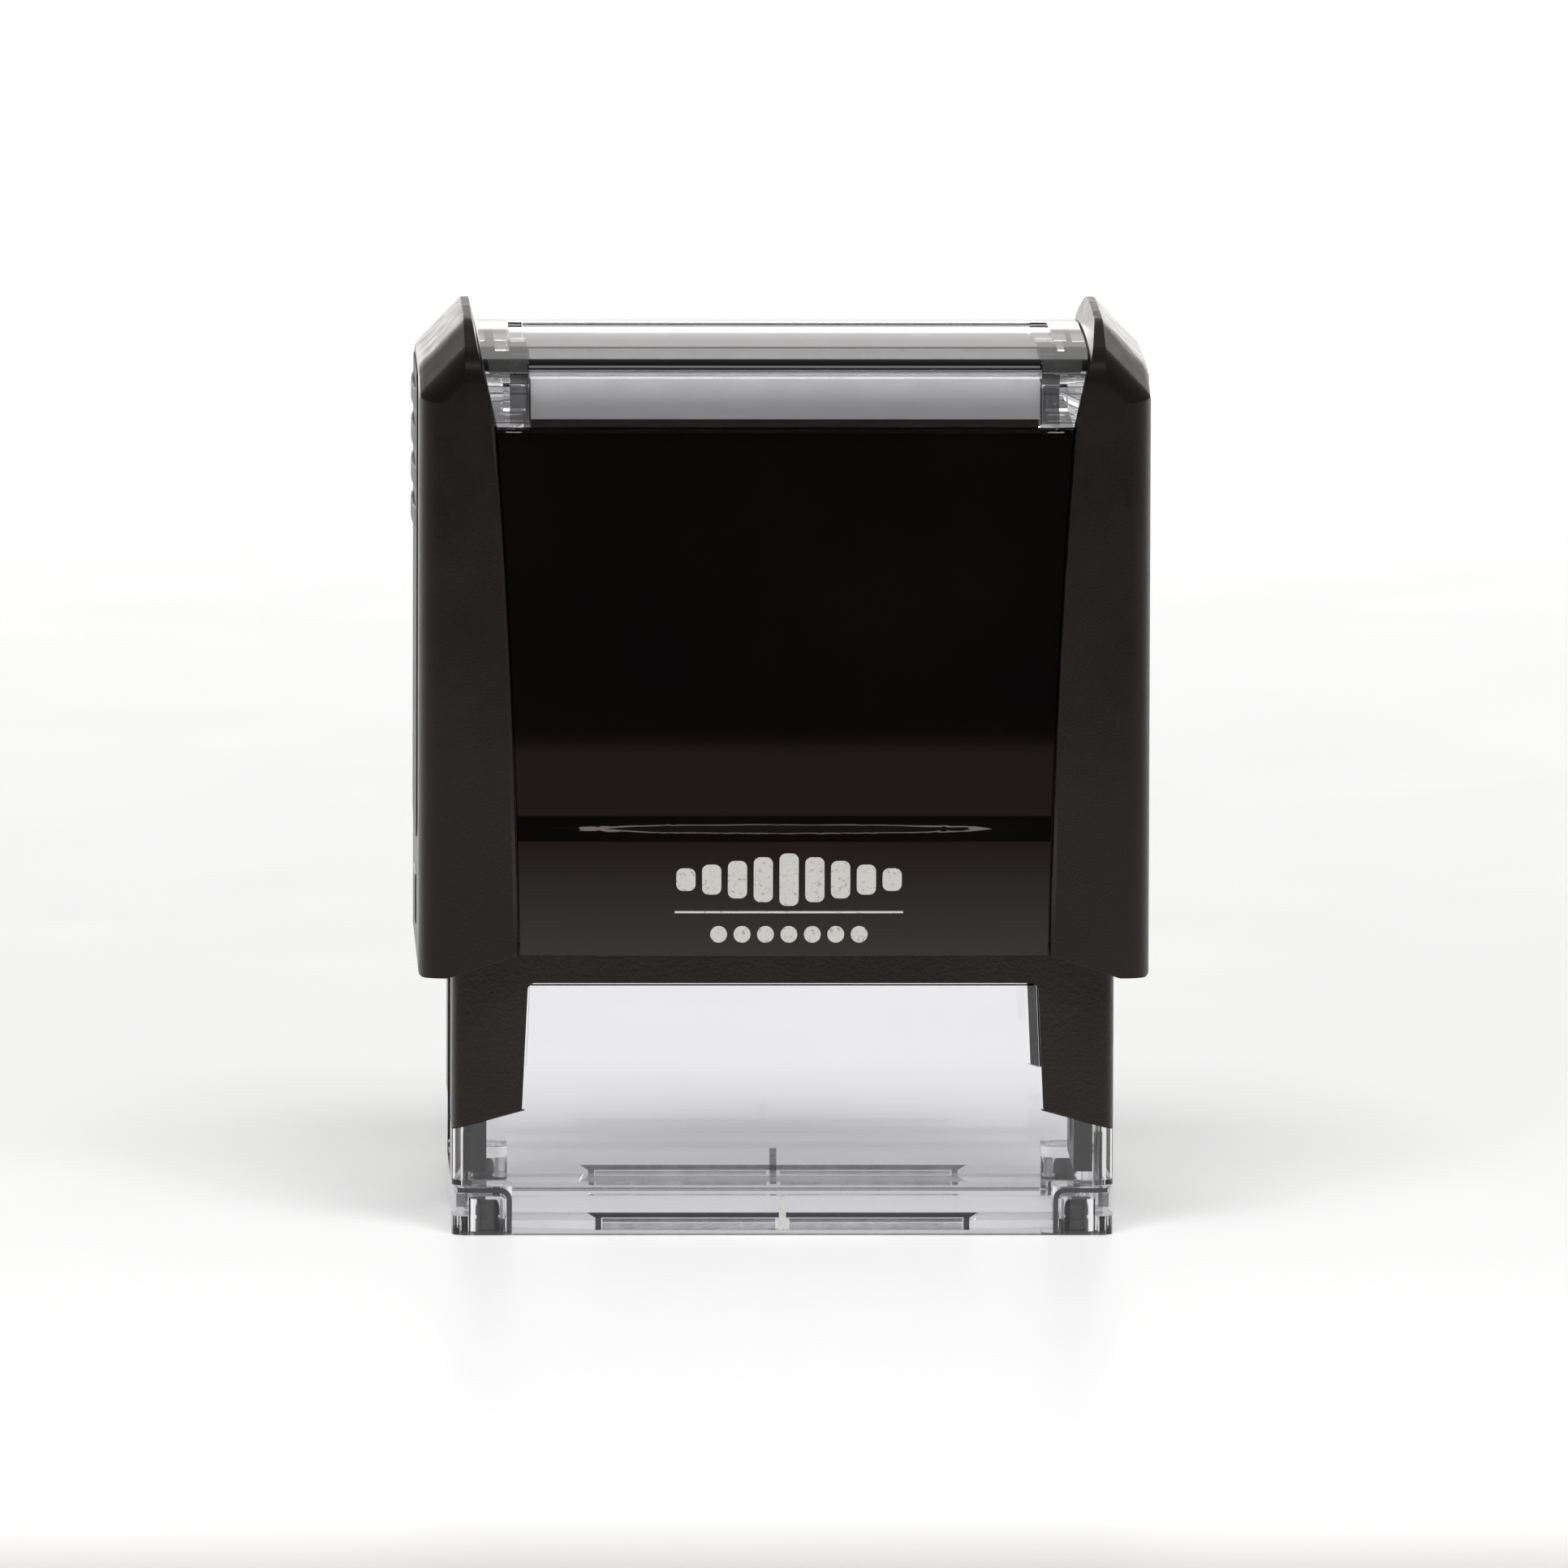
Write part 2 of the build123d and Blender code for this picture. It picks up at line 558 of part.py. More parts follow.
BOW_FOOT_R = 3.4
BOW_ARM_LOW = AXIS_Z + 6
with BuildPart() as bow:
    with BuildSketch(Plane.XZ):
        with BuildLine():
            Polyline(
                (-BOW_OUT, BOW_ARM_LOW),
                (-BOW_OUT, BOW_BAR_TOP),
                (BOW_OUT, BOW_BAR_TOP),
                (BOW_OUT, BOW_ARM_LOW),
                (BOW_IN, BOW_ARM_LOW),
                (BOW_IN, BOW_BAR_LOW),
                (-BOW_IN, BOW_BAR_LOW),
                (-BOW_IN, BOW_ARM_LOW),
                close=True,
            )
        make_face()
    extrude(amount=BOW_HALF_D, both=True)
    for side in BOTH_ENDS:
        with BuildSketch(Plane.YZ.offset(side * BOW_IN)):
            with BuildLine():
                Polyline(
                    (-BOW_HALF_D, BOW_ARM_LOW),
                    (-BOW_FOOT_R, AXIS_Z),
                    (BOW_FOOT_R, AXIS_Z),
                    (BOW_HALF_D, BOW_ARM_LOW),
                    close=True,
                )
            make_face()
            with Locations((0, AXIS_Z)):
                Circle(BOW_FOOT_R)
        extrude(amount=side * (BOW_OUT - BOW_IN))
        # ribs that stiffen the corners
        with BuildSketch(Plane.XZ):
            with BuildLine():
                Polyline(
                    (side * BOW_IN, BOW_BAR_LOW),
                    (side * (BOW_IN - BOW_GUSSET), BOW_BAR_LOW),
                    (side * BOW_IN, BOW_BAR_LOW - BOW_GUSSET),
                    close=True,
                )
            make_face()
        extrude(amount=0.6, both=True)
    # trunnion bearings
    with BuildSketch(Plane.YZ):
        with Locations((0, AXIS_Z)):
            Circle(TRUNNION_R + TRUNNION_FIT)
    extrude(amount=BOW_OUT + 1, both=True, mode=Mode.SUBTRACT)
    # pegs that hold the bow in the ceiling, and the boss that centres the spring
    with BuildSketch(Plane.XY.offset(BOW_BAR_TOP)):
        with GridLocations(PEG_PITCH, 1, 2, 1):
            Circle(PEG_R)
    extrude(amount=CEILING_TOP - BOW_BAR_TOP)
    with BuildSketch(Plane.XY.offset(BOW_BAR_LOW)):
        Circle(SPRING_SEAT_R)
    extrude(amount=-SPRING_SEAT_H)
finish(bow.part, "bow")

CARD_OUT = COVER_HALF_D - COVER_WALL - 0.2
TRAY_HALF_D = CARD_OUT - CARD_T - 0.05
TRAY_WALL = 1.2
with BuildPart() as index_card:
    # a front and a rear leaf, bent over the eaves of the tray
    for half_d, peak, corner, half_w, mode in (
        (CARD_OUT, TRAY_PEAK + CARD_T + 0.05, TRAY_ROUND + CARD_T + 0.05, CARD_HALF_W, Mode.ADD),
        (CARD_OUT - CARD_T, TRAY_PEAK + 0.05, TRAY_ROUND + 0.05, CARD_HALF_W + 1, Mode.SUBTRACT),
    ):
        with BuildSketch(Plane.YZ):
            add(arched(half_d, peak, TRAY_ARCH_R, corner))
        extrude(amount=half_w, both=True, mode=mode)
    with BuildSketch(Plane.XY):
        Rectangle(2 * CARD_HALF_W + 2, 2 * CARD_TOP_Y)
    extrude(amount=COVER_PEAK, mode=Mode.SUBTRACT)
    split(bisect_by=Plane.XY.offset(CARD_LOW), keep=Keep.TOP)
finish(index_card.part, "index_card")

with BuildPart() as card_tray:
    with BuildSketch(Plane.YZ):
        add(arched(TRAY_HALF_D, TRAY_PEAK, TRAY_ARCH_R, TRAY_ROUND))
    extrude(amount=CARD_HALF_W - 0.1, both=True)
    with BuildSketch(Plane.YZ):
        add(arched(TRAY_HALF_D - TRAY_WALL, TRAY_PEAK - TRAY_WALL, TRAY_ARCH_R, TRAY_ROUND - TRAY_WALL))
    extrude(amount=CARD_HALF_W - 0.1 - TRAY_WALL, both=True, mode=Mode.SUBTRACT)
    split(bisect_by=Plane.XY.offset(CEILING_TOP), keep=Keep.TOP)
finish(card_tray.part, "card_tray")

for side, side_name in ((-1, "left"), (1, "right")):
    with BuildPart() as side_grip:
        with BuildSketch(Plane.YZ.offset(side * (CAP_HALF_W - GRIP_RECESS + 0.02))):
            with Locations((0, (GRIP_LOW + GRIP_TOP) / 2)):
                RectangleRounded(2 * GRIP_HALF_D - 0.2, GRIP_TOP - GRIP_LOW - 0.2, 2.4)
        extrude(amount=side * (GRIP_RECESS + 0.1))
        for step in range(RIDGE_COUNT):
            ridge_z = RIDGE_TOP_Z - step * RIDGE_PITCH
            with BuildSketch(Plane.XY.offset(ridge_z - RIDGE_H / 2)):
                with Locations((side * CAP_HALF_W, 0)):
                    Ellipse(RIDGE_REACH, RIDGE_HALF_D)
            extrude(amount=RIDGE_H)
        ridge_edges = side_grip.edges().filter_by(GeomType.ELLIPSE)
        fillet(ridge_edges.filter_by(lambda edge: edge.length > 1), 0.2)
    finish(side_grip.part, f"side_grip_{side_name}")

    with BuildPart() as lock_button:
        with BuildSketch(Plane.YZ.offset(side * (SIDE_INNER - 0.45))):
            with Locations((0, BUTTON_Z)):
                RectangleRounded(BUTTON_W + 1.8, BUTTON_H + 1.4, 0.9)
        extrude(amount=side * 0.4)
        with BuildSketch(Plane.YZ.offset(side * (SIDE_INNER - 0.05))):
            with Locations((0, BUTTON_Z)):
                RectangleRounded(BUTTON_W, BUTTON_H, 0.8)
        extrude(amount=side * (SIDE_WALL + 0.2))
        outer_face = lock_button.faces().sort_by(Axis.X)[-1 if side > 0 else 0]
        fillet(outer_face.edges(), 0.3)
    finish(lock_button.part, f"lock_button_{side_name}")

# ================================================================ window body
BLOCK_X = 23.1  # corner blocks of the cover
BLOCK_Y = 17.3
BLOCK_W = 1.9
BLOCK_D = 2.6
SNAP_W = 1.5
SNAP_H = 0.6
SNAP_UP = 0.75  # above the lower edge of the cover
BLOCK_FLOOR = 1.3
BLOCK_HOLLOW_H = 2.1
COVER_HOLLOW_H = 3.6
LIP_W = 1.5
with BuildPart() as window_cover:
    with BuildSketch(Plane.YZ):
        add(hipped(COVER_HALF_D, COVER_PEAK, COVER_HIP_DROP, COVER_CREASE_R, COVER_ROUND))
    extrude(amount=CAP_HALF_W, both=True)
    with BuildSketch(Plane.XZ):
        add(cover_outline(COVER_GAP, COVER_LOW, COVER_PEAK + 1))
    extrude(amount=CAP_HALF_D, both=True, mode=Mode.INTERSECT)
    # corner blocks are what the two hollows leave
    with BuildSketch(Plane.YZ):
        inner_half_d = COVER_HALF_D - COVER_WALL
        inner_peak = COVER_PEAK - COVER_WALL
        inner_round = COVER_ROUND - COVER_WALL
        add(hipped(inner_half_d, inner_peak, COVER_HIP_DROP, COVER_CREASE_R, inner_round))
    extrude(amount=CARD_HALF_W + 0.15, both=True, mode=Mode.SUBTRACT)
    with BuildSketch(Plane.XY.offset(COVER_LOW)):
        Rectangle(2 * (PANEL_HALF_TOP - COVER_GAP - COVER_WALL), 2 * (BLOCK_Y - BLOCK_D / 2 - 0.6))
    extrude(amount=COVER_HOLLOW_H, mode=Mode.SUBTRACT)
    # the corner blocks are hollow above the snap holes
    for side in BOTH_ENDS:
        for end in BOTH_ENDS:
            with BuildSketch(Plane.XY.offset(COVER_LOW + BLOCK_FLOOR)):
                with Locations((side * BLOCK_X, end * BLOCK_Y)):
                    Rectangle(BLOCK_W, BLOCK_D)
            extrude(amount=BLOCK_HOLLOW_H, mode=Mode.SUBTRACT)
            with BuildSketch(Plane.XZ.offset(end * (COVER_HALF_D - 1.5))):
                with Locations((side * BLOCK_X, COVER_LOW + SNAP_UP)):
                    RectangleRounded(SNAP_W, SNAP_H, 0.15)
            extrude(amount=end * 2, mode=Mode.SUBTRACT)
    # dished roof between two end lips
    dish_y = ROOF_CREASE_Y - COVER_DISH_IN
    dish_edge = COVER_PEAK - COVER_DISH - dish_y**2 / 2 / ROOF_ARCH_R
    with BuildSketch(Plane.YZ):
        with BuildLine():
            Polyline(
                (dish_y, dish_edge),
                (dish_y + 1, COVER_PEAK + 1),
                (-dish_y - 1, COVER_PEAK + 1),
                (-dish_y, dish_edge),
            )
            ThreePointArc((-dish_y, dish_edge), (0, COVER_PEAK - COVER_DISH), (dish_y, dish_edge))
        make_face()
    extrude(amount=PANEL_HALF_TOP - LIP_W, both=True, mode=Mode.SUBTRACT)
finish(window_cover.part, "window_cover")

# ================================================================ die body
CARRIER_HALF_W = 24.0
CARRIER_LOW = AXIS_Z - 3.4
PLATE_LOW = AXIS_Z + 2.4
PLATE_TOP = AXIS_Z + 3.9
TEXT_PLATE_TOP = AXIS_Z + 5.0
FOAM_TOP = AXIS_Z + 5.7
RUBBER_BASE_TOP = AXIS_Z + 6.8
FACE_Z = AXIS_Z + FACE_HEIGHT
DIE_HALF_D = 8.9
CHEEK_HALF_TOP = 7.5
CHEEK_HALF_LOW = 4.5
CHEEK_T = 2.0
RIB_HALF_TOP = 7.0
RIB_HALF_LOW = 3.8
RIB_COUNT = 7
RIB_PITCH = 6.0
RIB_T = 1.0
SPINE_T = 1.2
SPINE_H = 6.0
PLATE_HALF_D = 9.4
TEXT_PLATE_HALF_W = 23.7
TEXT_PLATE_HALF_D = 9.2
FOAM_HALF_W = 23.3
FOAM_HALF_D = 9.0
DIE_HALF_W = 23.2
FRAME_IN = 0.4  # printed frame line: distance from the edge of the die, and its width
# plain bars in place of text: y, width and height
PRINT_BARS = ((4.9, 30, 2.4), (1.2, 38, 1.4), (-1.8, 34, 1.4), (-4.9, 24, 1.4))
with BuildPart() as die_carrier:
    with BuildSketch(Plane.XY.offset(PLATE_LOW)):
        RectangleRounded(2 * CARRIER_HALF_W, 2 * PLATE_HALF_D, 0.8)
    extrude(amount=PLATE_TOP - PLATE_LOW)
    # end cheeks
    for side in BOTH_ENDS:
        with BuildSketch(Plane.YZ.offset(side * CARRIER_HALF_W)):
            with BuildLine():
                Polyline(
                    (-CHEEK_HALF_TOP, PLATE_LOW + 0.5),
                    (-CHEEK_HALF_LOW, CARRIER_LOW),
                    (CHEEK_HALF_LOW, CARRIER_LOW),
                    (CHEEK_HALF_TOP, PLATE_LOW + 0.5),
                    close=True,
                )
            make_face()
        extrude(amount=-side * CHEEK_T)
        with BuildSketch(Plane.YZ.offset(side * (CARRIER_HALF_W - 0.5))):
            with Locations((0, AXIS_Z)):
                Circle(TRUNNION_R)
        extrude(amount=side * (BOW_OUT - CARRIER_HALF_W + 0.3))
        with BuildSketch(Plane.YZ.offset(side * (CARRIER_HALF_W - 0.5))):
            with Locations(cam_point(0)):
                Circle(CAM_PIN_R)
        extrude(amount=side * (GUIDE_IN + 1.0 - CARRIER_HALF_W + 0.3))
    # back ribs, and a spine along the axis
    for rib in range(RIB_COUNT):
        rib_x = RIB_PITCH * (rib - (RIB_COUNT - 1) / 2) - RIB_T / 2
        with BuildSketch(Plane.YZ.offset(rib_x)):
            with BuildLine():
                Polyline(
                    (-RIB_HALF_TOP, PLATE_LOW + 0.5),
                    (-RIB_HALF_LOW, CARRIER_LOW + 0.6),
                    (RIB_HALF_LOW, CARRIER_LOW + 0.6),
                    (RIB_HALF_TOP, PLATE_LOW + 0.5),
                    close=True,
                )
            make_face()
        extrude(amount=RIB_T)
    with BuildSketch(Plane.XZ):
        with Locations((0, AXIS_Z)):
            Rectangle(2 * CARRIER_HALF_W - 2, SPINE_H)
    extrude(amount=SPINE_T / 2, both=True)
finish(die_carrier.part, "die_carrier")

with BuildPart() as text_plate:
    with BuildSketch(Plane.XY.offset(PLATE_TOP)):
        RectangleRounded(2 * TEXT_PLATE_HALF_W, 2 * TEXT_PLATE_HALF_D, 0.6)
    extrude(amount=TEXT_PLATE_TOP - PLATE_TOP)
finish(text_plate.part, "text_plate")

with BuildPart() as foam_layer:
    with BuildSketch(Plane.XY.offset(TEXT_PLATE_TOP)):
        Rectangle(2 * FOAM_HALF_W, 2 * FOAM_HALF_D)
    extrude(amount=FOAM_TOP - TEXT_PLATE_TOP)
finish(foam_layer.part, "foam_layer")

with BuildPart() as rubber_die:
    with BuildSketch(Plane.XY.offset(FOAM_TOP)):
        Rectangle(2 * DIE_HALF_W, 2 * DIE_HALF_D)
    extrude(amount=RUBBER_BASE_TOP - FOAM_TOP)
    # raised printing face: a frame line and plain bars in place of text
    with BuildSketch(Plane.XY.offset(RUBBER_BASE_TOP)):
        Rectangle(2 * (DIE_HALF_W - FRAME_IN), 2 * (DIE_HALF_D - FRAME_IN))
        Rectangle(2 * (DIE_HALF_W - 2 * FRAME_IN), 2 * (DIE_HALF_D - 2 * FRAME_IN), mode=Mode.SUBTRACT)
        for bar_y, bar_w, bar_h in PRINT_BARS:
            with Locations((0, bar_y)):
                Rectangle(bar_w, bar_h)
    extrude(amount=FACE_Z - RUBBER_BASE_TOP)
finish(rubber_die.part, "rubber_die")
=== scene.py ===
"""Self-inking stamp: looks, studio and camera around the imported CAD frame.

Metres, +Z up, front faces -Y.
"""

import math

import bmesh
import bpy
from mathutils import Matrix, Vector
from mathutils.bvhtree import BVHTree


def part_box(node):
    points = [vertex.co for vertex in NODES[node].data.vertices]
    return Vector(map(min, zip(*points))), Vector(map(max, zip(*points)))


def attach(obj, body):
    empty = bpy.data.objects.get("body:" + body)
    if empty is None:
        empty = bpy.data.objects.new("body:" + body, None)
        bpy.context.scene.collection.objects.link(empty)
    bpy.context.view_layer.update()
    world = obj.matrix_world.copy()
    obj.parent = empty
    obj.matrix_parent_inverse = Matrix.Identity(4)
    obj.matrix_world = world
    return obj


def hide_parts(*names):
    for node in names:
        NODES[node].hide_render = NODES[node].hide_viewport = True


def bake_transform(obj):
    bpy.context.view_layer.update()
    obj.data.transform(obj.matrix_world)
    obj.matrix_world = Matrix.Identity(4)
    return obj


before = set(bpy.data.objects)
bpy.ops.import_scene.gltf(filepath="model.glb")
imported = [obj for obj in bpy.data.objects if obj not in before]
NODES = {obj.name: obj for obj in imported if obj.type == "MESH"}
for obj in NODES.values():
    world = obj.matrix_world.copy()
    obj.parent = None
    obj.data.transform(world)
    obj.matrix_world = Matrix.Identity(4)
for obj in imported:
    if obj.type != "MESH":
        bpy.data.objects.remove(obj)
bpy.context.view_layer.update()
MM = 0.001


# ---------------------------------------------------------------- node helpers
class Shader:
    """A material's node tree, with short calls for the nodes that repeat."""

    def __init__(self, name):
        self.material = bpy.data.materials.new(name)
        self.material.use_nodes = True
        self.tree = self.material.node_tree
        self.bsdf = self.tree.nodes["Principled BSDF"]
        self.coords = self.tree.nodes.new("ShaderNodeTexCoord").outputs["Object"]

    def node(self, kind, **inputs):
        """Add a node; an input value that is a socket is linked, anything else is set."""
        made = self.tree.nodes.new(kind)
        for key, value in inputs.items():
            socket = made.inputs[key.replace("_", " ")]
            if isinstance(value, bpy.types.NodeSocket):
                self.tree.links.new(value, socket)
            else:
                socket.default_value = value
        return made

    def stretch(self, factors):
        """Object coordinates multiplied by three factors."""
        made = self.node("ShaderNodeMapping", Vector=self.coords)
        made.inputs["Scale"].default_value = factors
        return made.outputs["Vector"]

    def noise(self, scale, detail=2.0, roughness=0.5, vector=None):
        made = self.node(
            "ShaderNodeTexNoise",
            Vector=vector or self.coords,
            Scale=scale,
            Detail=detail,
            Roughness=roughness,
        )
        return made.outputs["Fac"]

    def span(self, value, low, high, start=0.3, end=0.7):
        """Value mapped from start..end onto low..high."""
        made = self.node("ShaderNodeMapRange", Value=value)
        made.inputs["From Min"].default_value = start
        made.inputs["From Max"].default_value = end
        made.inputs["To Min"].default_value = low
        made.inputs["To Max"].default_value = high
        return made.outputs["Result"]

    def blend(self, factor, first, second):
        """Colour between two colours by a factor."""
        made = self.tree.nodes.new("ShaderNodeMix")
        made.data_type = "RGBA"
        self.tree.links.new(factor, made.inputs["Factor"])
        for socket, colour in ((made.inputs[6], first), (made.inputs[7], second)):
            if isinstance(colour, bpy.types.NodeSocket):
                self.tree.links.new(colour, socket)
            else:
                socket.default_value = (*colour, 1.0)
        return made.outputs[2]

    def colour(self, first, second, scale, start=0.35, end=0.65):
        """Base colour that drifts between two colours."""
        factor = self.span(self.noise(scale, 3.0), 0.0, 1.0, start, end)
        self.link(self.blend(factor, first, second), "Base Color")

    def link(self, output, name):
        self.tree.links.new(output, self.bsdf.inputs[name])

    def set(self, **values):
        for key, value in values.items():
            self.bsdf.inputs[key.replace("_", " ")].default_value = value

    def relief(self, heights, round_edges=None):
        """Bumps from (height output, depth in metres) pairs, over softly rounded edges."""
        normal = None
        if round_edges:
            bevel = self.tree.nodes.new("ShaderNodeBevel")
            bevel.samples = 6
            bevel.inputs["Radius"].default_value = round_edges
            normal = bevel.outputs["Normal"]
        for height, depth in heights:
            bump = self.node("ShaderNodeBump", Height=height, Distance=depth)
            if normal:
                self.tree.links.new(normal, bump.inputs["Normal"])
            normal = bump.outputs["Normal"]
        self.link(normal, "Normal")


WARM = (1.0, 0.90, 0.84, 1.0)  # tint of the highlights on black plastic


def moulded(name, dark, light, rough, grain, depth, edge=0.12 * MM, specular=0.5):
    """Textured moulded plastic; grain is the size of its texture, in metres."""
    s = Shader(name)
    s.colour(dark, light, 90)
    s.link(s.span(s.noise(500, 3.0), rough - 0.05, rough + 0.05), "Roughness")
    s.set(Specular_IOR_Level=specular, Specular_Tint=WARM)
    fine = s.noise(1 / grain, 3.0, 0.6)
    broad = s.noise(140, 2.0)
    s.relief([(broad, 8e-6), (fine, depth)], edge)
    return s


def polished(name, dark, light, rough, specular=0.5):
    """Polished moulded plastic with a very slight waviness and fine scuffs."""
    s = Shader(name)
    s.colour(dark, light, 60)
    scuffs = s.noise(900, 4.0, 0.7, s.stretch((1.0, 1.0, 0.12)))
    s.link(s.span(scuffs, rough, rough + 0.03, 0.62, 0.8), "Roughness")
    s.set(Specular_IOR_Level=specular, Specular_Tint=WARM)
    s.relief([(s.noise(45, 1.0), 3e-6)], 0.1 * MM)
    return s


def clear(name):
    """Crystal-clear moulded plastic with a faint cool tint."""
    s = Shader(name)
    s.colour((0.940, 0.940, 0.957), (0.957, 0.957, 0.970), 30)
    s.link(s.span(s.noise(300, 3.0), 0.0, 0.02), "Roughness")
    s.set(Transmission_Weight=1.0, IOR=1.49)
    s.relief([(s.noise(25, 1.0), 2e-6)])
    return s


def grained(name, dark, light, rough, scale, depth, sheen=0.0):
    """Soft matt stuff: card, felt, foam or rubber."""
    s = Shader(name)
    s.colour(dark, light, scale / 6)
    s.link(s.span(s.noise(scale, 4.0, 0.7), rough - 0.06, min(1.0, rough + 0.06)), "Roughness")
    s.set(Sheen_Weight=sheen)
    s.relief([(s.noise(scale, 4.0, 0.7), depth)])
    return s


def shaded_card(name):
    """Smooth card, with painted shade that darkens it towards its lower edge."""
    s = grained(name, (0.80, 0.79, 0.79), (0.87, 0.865, 0.86), 0.85, 1800, 1.2e-5)
    tone = s.bsdf.inputs["Base Color"].links[0].from_socket
    # painted shade: the base colour darkens with height towards the card's lower edge
    height = s.node("ShaderNodeSeparateXYZ", Vector=s.coords).outputs["Z"]
    shade = s.span(height, 0.0, 1.0, 70.0 * MM, 75.4 * MM)
    s.link(s.blend(shade, (0.52, 0.51, 0.51), tone), "Base Color")
    return s


def painted_edge_shade(name, shade, cover):
    """Painted shade: a part-opaque dark sheet in place of the dark line that a moulded edge shows
    in clear plastic; cover is how much of it is opaque.
    """
    s = Shader(name)
    s.colour((shade, shade, shade * 1.08), (shade * 1.3, shade * 1.3, shade * 1.38), 120)
    s.link(s.span(s.noise(700, 2.0), cover - 0.06, cover + 0.06), "Alpha")
    s.link(s.span(s.noise(300, 3.0), 0.25, 0.35), "Roughness")
    s.relief([(s.noise(300, 2.0), 3e-6)])
    return s


def steel(name):
    s = Shader(name)
    s.colour((0.52, 0.52, 0.53), (0.66, 0.65, 0.64), 200)
    lines = s.noise(1500, 3.0, 0.6, s.stretch((1.0, 1.0, 0.1)))
    s.link(s.span(lines, 0.16, 0.34), "Roughness")
    s.set(Metallic=1.0)
    s.relief([(lines, 3e-6)])
    return s


def foil(name):
    """Hot-stamped silver foil, with the pits where it hasn't taken."""
    s = Shader(name)
    pits = s.span(s.noise(2600, 4.0, 0.75), 0.0, 1.0, 0.34, 0.44)
    s.link(s.blend(pits, (0.30, 0.29, 0.27), (0.70, 0.69, 0.66)), "Base Color")
    s.link(s.span(s.noise(1800, 3.0), 0.35, 0.6), "Roughness")
    s.set(Metallic=0.25)
    s.relief([(s.noise(2600, 4.0, 0.75), 1.5e-5)])
    return s


MATTE_SPECULAR = 0.42  # the shell and the frame gloss a little less than bare plastic
SLOTS = {
    "shell_black": moulded(
        "shell_black",
        (0.006, 0.0046, 0.0043),
        (0.011, 0.0088, 0.0082),
        0.34,
        0.16 * MM,
        1.6e-5,
        specular=MATTE_SPECULAR,
    ),
    "frame_black": moulded(
        "frame_black",
        (0.008, 0.0062, 0.0056),
        (0.014, 0.011, 0.0098),
        0.40,
        0.30 * MM,
        4e-5,
        specular=MATTE_SPECULAR,
    ),
    "gloss_black": polished("gloss_black", (0.0016, 0.0012, 0.0012), (0.0028, 0.0021, 0.002), 0.03),
    "grip_black": moulded(
        "grip_black", (0.008, 0.0065, 0.006), (0.014, 0.0115, 0.0105), 0.45, 0.2 * MM, 2e-5
    ),
    "button_black": moulded(
        "button_black", (0.009, 0.008, 0.008), (0.015, 0.013, 0.013), 0.38, 0.25 * MM, 6e-6
    ),
    "mechanism_black": moulded(
        "mechanism_black", (0.010, 0.009, 0.009), (0.017, 0.015, 0.015), 0.42, 0.3 * MM, 8e-6
    ),
    "clear_plastic": clear("clear_plastic"),
    "plug_rubber": grained(
        "plug_rubber", (0.010, 0.009, 0.009), (0.020, 0.018, 0.018), 0.72, 2500, 1.5e-5
    ),
    "white_print": foil("white_print"),
    "ink_felt": grained(
        "ink_felt", (0.006, 0.006, 0.012), (0.018, 0.018, 0.032), 0.85, 3500, 6e-5, 0.4
    ),
    "spring_steel": steel("spring_steel"),
    "card": shaded_card("card"),
    "plate_plastic": moulded(
        "plate_plastic", (0.50, 0.49, 0.47), (0.58, 0.57, 0.55), 0.4, 0.4 * MM, 5e-6
    ),
    "foam": grained("foam", (0.30, 0.29, 0.27), (0.44, 0.42, 0.40), 0.9, 2200, 8e-5),
    "die_rubber": grained("die_rubber", (0.16, 0.035, 0.03), (0.24, 0.06, 0.05), 0.6, 1500, 1e-5),
}

for item in NODES.values():
    for holder in item.material_slots:
        holder.material = SLOTS[holder.material.name.split(".")[0]].material


# ---------------------------------------------------------------- mesh helpers
def surface(node):
    """A ray target for a CAD node."""
    mesh = NODES[node].data
    corners = [v.co[:] for v in mesh.vertices]
    return BVHTree.FromPolygons(corners, [p.vertices[:] for p in mesh.polygons])


def mesh_object(name, bm, look):
    """Turn a finished bmesh into an object that shows one shader."""
    mesh = bpy.data.meshes.new(name)
    bm.to_mesh(mesh)
    bm.free()
    made = bpy.data.objects.new(name, mesh)
    bpy.context.scene.collection.objects.link(made)
    mesh.materials.append(look.material)
    return made


def piece(name, bm, body, slot, look=None):
    """Make a piece that rides on a body and shows its slot's shader, or a look of its own."""
    made = mesh_object(name, bm, look or SLOTS[slot])
    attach(made, body)


# ---------------------------------------------------------------- generic printed mark
PRINT_LIFT = 0.015 * MM
PANEL = surface("front_panel")
RAY_FROM_Y = -0.05  # in front of the whole object


def print_shape(bm, outline):
    """Lay a flat outline of (x, z) points, in mm, on the front panel."""
    ring = []
    for x, z in outline:
        hit = PANEL.ray_cast(Vector((x * MM, RAY_FROM_Y, z * MM)), Vector((0, 1, 0)))[0]
        ring.append(bm.verts.new(hit + Vector((0, -PRINT_LIFT, 0))))
    bm.faces.new(ring)


def rounded(cx, cz, half_w, half_h, r, steps=5):
    """Outline of a rounded rectangle, counter-clockwise seen from the front."""
    points = []
    for quarter in range(4):
        sx = (1, -1, -1, 1)[quarter]
        sz = (1, 1, -1, -1)[quarter]
        for i in range(steps + 1):
            a = math.pi / 2 * (quarter + i / steps)
            x = cx + sx * (half_w - r) + r * math.cos(a)
            z = cz + sz * (half_h - r) + r * math.sin(a)
            points.append((x, z))
    return points


# sizes of the mark in mm
MARK_X = 0.4
TILE_Z, TILE_PITCH, TILE_HALF_W, TILE_CORNER = 30.95, 2.2, 0.82, 0.55
TALLEST_HALF_H, HALF_H_STEP = 2.25, 0.32
RULE_Z, RULE_LENGTH, RULE_HALF_H = 28.15, 19.5, 0.09
RULE_PARTS = 8
DOT_Z, DOT_PITCH, DOT_R = 26.25, 2.0, 0.72
bm = bmesh.new()
